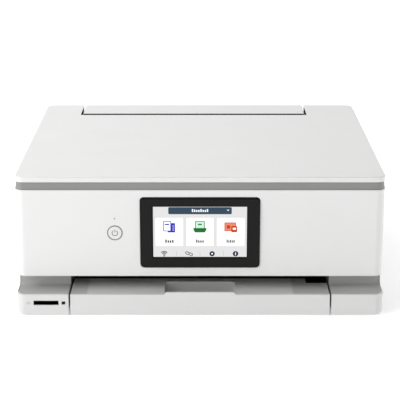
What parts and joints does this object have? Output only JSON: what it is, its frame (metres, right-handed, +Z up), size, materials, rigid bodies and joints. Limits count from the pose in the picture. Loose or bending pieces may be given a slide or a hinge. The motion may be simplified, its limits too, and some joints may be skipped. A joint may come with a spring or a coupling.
{
  "type": "inkjet printer",
  "caption": "Compact all-in-one inkjet printer with flatbed scanner, tilting touch panel, rear paper tray, pull-out cassette and moving print carriage.",
  "frame": {"origin": "centre of the footprint, on the surface that the feet stand on", "axes": "+X to the user's right as they face the front, +Y towards the back, +Z up"},
  "size_m": [0.373, 0.345, 0.142],
  "materials": {
    "white_plastic": "fine matte texture",
    "grey_plastic": "matte",
    "dark_plastic": "matte",
    "black_gloss": "gloss",
    "screen": "glass-like display",
    "scanner_glass": "clear",
    "pad_white": "soft white backing sheet",
    "steel": "zinc-plated",
    "rubber": "matte",
    "lamp": "smoked",
    "board": "solder mask",
    "ink_black": "moulded",
    "ink_cyan": "moulded",
    "ink_magenta": "moulded",
    "ink_yellow": "moulded",
    "ink_photo_black": "moulded"
  },
  "bodies": {
    "chassis": {"base_tray": "dark_plastic", "foot_front_left": "rubber", "foot_front_right": "rubber", "foot_rear_left": "rubber", "foot_rear_right": "rubber", "front_panel": "white_plastic", "left_side_cover": "white_plastic", "right_side_cover": "white_plastic", "rear_cover": "white_plastic", "left_wing_cover": "white_plastic", "right_wing_cover": "white_plastic", "left_ledge": "grey_plastic", "right_ledge": "grey_plastic", "card_slot": "dark_plastic", "access_lamp": "lamp", "power_inlet": "dark_plastic", "usb_port": "steel", "power_supply": "dark_plastic", "logic_board": "board", "panel_bay": "dark_plastic", "scanner_hinge_left": "steel", "scanner_hinge_right": "steel", "rear_tray_bed": "grey_plastic", "engine_frame": "steel", "carriage_rail": "steel", "carriage_motor": "steel", "carriage_belt": "rubber", "feed_motor": "steel", "feed_belt": "rubber", "print_platen": "dark_plastic", "purge_unit": "dark_plastic"},
    "touch_panel": {"touch_panel_frame": "black_gloss", "touch_screen": "screen"},
    "power_button": {"power_button": "white_plastic"},
    "scanner_unit": {"scanner_frame": "grey_plastic", "scanner_tub": "dark_plastic", "platen_glass": "scanner_glass"},
    "image_sensor": {"image_sensor": "dark_plastic"},
    "document_cover": {"document_cover": "white_plastic", "document_pad": "pad_white"},
    "rear_tray_cover": {"rear_tray_cover": "white_plastic"},
    "paper_support": {"paper_support": "grey_plastic"},
    "rear_guide_left": {"rear_guide_left": "grey_plastic"},
    "rear_guide_right": {"rear_guide_right": "grey_plastic"},
    "cassette": {"cassette_body": "dark_plastic", "cassette_cover": "white_plastic", "cassette_ledge": "grey_plastic"},
    "cassette_guide_left": {"cassette_guide_left": "grey_plastic"},
    "cassette_guide_right": {"cassette_guide_right": "grey_plastic"},
    "output_tray": {"output_tray": "grey_plastic"},
    "carriage": {"print_carriage": "dark_plastic", "ink_tank_black": "ink_black", "ink_tank_cyan": "ink_cyan", "ink_tank_magenta": "ink_magenta", "ink_tank_yellow": "ink_yellow", "ink_tank_photo_black": "ink_photo_black"},
    "idler_pulley": {"idler_pulley": "dark_plastic"},
    "motor_pulley": {"motor_pulley": "dark_plastic"},
    "feed_roller": {"feed_roller": "rubber"},
    "output_roller": {"output_roller": "rubber"}
  },
  "joints": [
    {"name": "scanner_unit_hinge", "type": "hinge", "parent": "chassis", "child": "scanner_unit", "pos_m": [0, 0.1685, 0.13], "axis": [-1, 0, 0], "range_deg": [0, 30]},
    {"name": "document_cover_hinge", "type": "hinge", "parent": "scanner_unit", "child": "document_cover", "pos_m": [0, 0.17, 0.1384], "axis": [-1, 0, 0], "range_deg": [0, 70]},
    {"name": "image_sensor_slide", "type": "slide", "parent": "scanner_unit", "child": "image_sensor", "axis": [1, 0, 0], "range_m": [0, 0.3]},
    {"name": "rear_tray_cover_hinge", "type": "hinge", "parent": "chassis", "child": "rear_tray_cover", "pos_m": [0, 0.1685, 0.138], "axis": [-1, 0, 0], "range_deg": [0, 125]},
    {"name": "paper_support_slide", "type": "slide", "parent": "rear_tray_cover", "child": "paper_support", "axis": [0, -1, 0], "range_m": [0, 0.0305]},
    {"name": "rear_guide_left_slide", "type": "slide", "parent": "chassis", "child": "rear_guide_left", "axis": [1, 0, 0], "range_m": [0, 0.055]},
    {"name": "rear_guide_right_slide", "type": "slide", "parent": "chassis", "child": "rear_guide_right", "axis": [1, 0, 0], "range_m": [-0.055, 0]},
    {"name": "cassette_slide", "type": "slide", "parent": "chassis", "child": "cassette", "axis": [0, -1, 0], "range_m": [0, 0.2]},
    {"name": "cassette_guide_left_slide", "type": "slide", "parent": "cassette", "child": "cassette_guide_left", "axis": [1, 0, 0], "range_m": [0, 0.03]},
    {"name": "cassette_guide_right_slide", "type": "slide", "parent": "cassette", "child": "cassette_guide_right", "axis": [1, 0, 0], "range_m": [-0.03, 0]},
    {"name": "output_tray_slide", "type": "slide", "parent": "chassis", "child": "output_tray", "axis": [0, -1, 0], "range_m": [0, 0.11]},
    {"name": "touch_panel_tilt", "type": "hinge", "parent": "chassis", "child": "touch_panel", "pos_m": [0, -0.1558, 0.1182], "axis": [-1, 0, 0], "range_deg": [0, 40]},
    {"name": "power_button_press", "type": "slide", "parent": "chassis", "child": "power_button", "axis": [0, 1, 0], "range_m": [0, 0.0012], "stiffness_N_per_m": 600},
    {"name": "carriage_slide", "type": "slide", "parent": "chassis", "child": "carriage", "axis": [-1, 0, 0], "range_m": [0, 0.224]},
    {"name": "idler_pulley_spin", "type": "hinge", "parent": "chassis", "child": "idler_pulley", "pos_m": [-0.15, 0.032, 0.0835], "axis": [0, 0, 1], "range_deg": [-2145, 5]},
    {"name": "motor_pulley_spin", "type": "hinge", "parent": "chassis", "child": "motor_pulley", "pos_m": [0.15, 0.032, 0.0835], "axis": [0, 0, 1], "range_deg": [-2145, 5]},
    {"name": "feed_roller_spin", "type": "hinge", "parent": "chassis", "child": "feed_roller", "pos_m": [0, 0.014, 0.043], "axis": [1, 0, 0], "continuous": true},
    {"name": "output_roller_spin", "type": "hinge", "parent": "chassis", "child": "output_roller", "pos_m": [0, -0.084, 0.04], "axis": [1, 0, 0], "continuous": true}
  ],
  "couplings": [
    {"joint": "paper_support_slide", "follows": "rear_tray_cover_hinge", "m_per_rad": 0.0135},
    {"joint": "rear_guide_right_slide", "follows": "rear_guide_left_slide", "ratio": -1},
    {"joint": "cassette_guide_right_slide", "follows": "cassette_guide_left_slide", "ratio": -1},
    {"joint": "idler_pulley_spin", "follows": "carriage_slide", "rad_per_m": -166.67},
    {"joint": "motor_pulley_spin", "follows": "carriage_slide", "rad_per_m": -166.67},
    {"joint": "output_roller_spin", "follows": "feed_roller_spin", "ratio": 1.2}
  ]
}
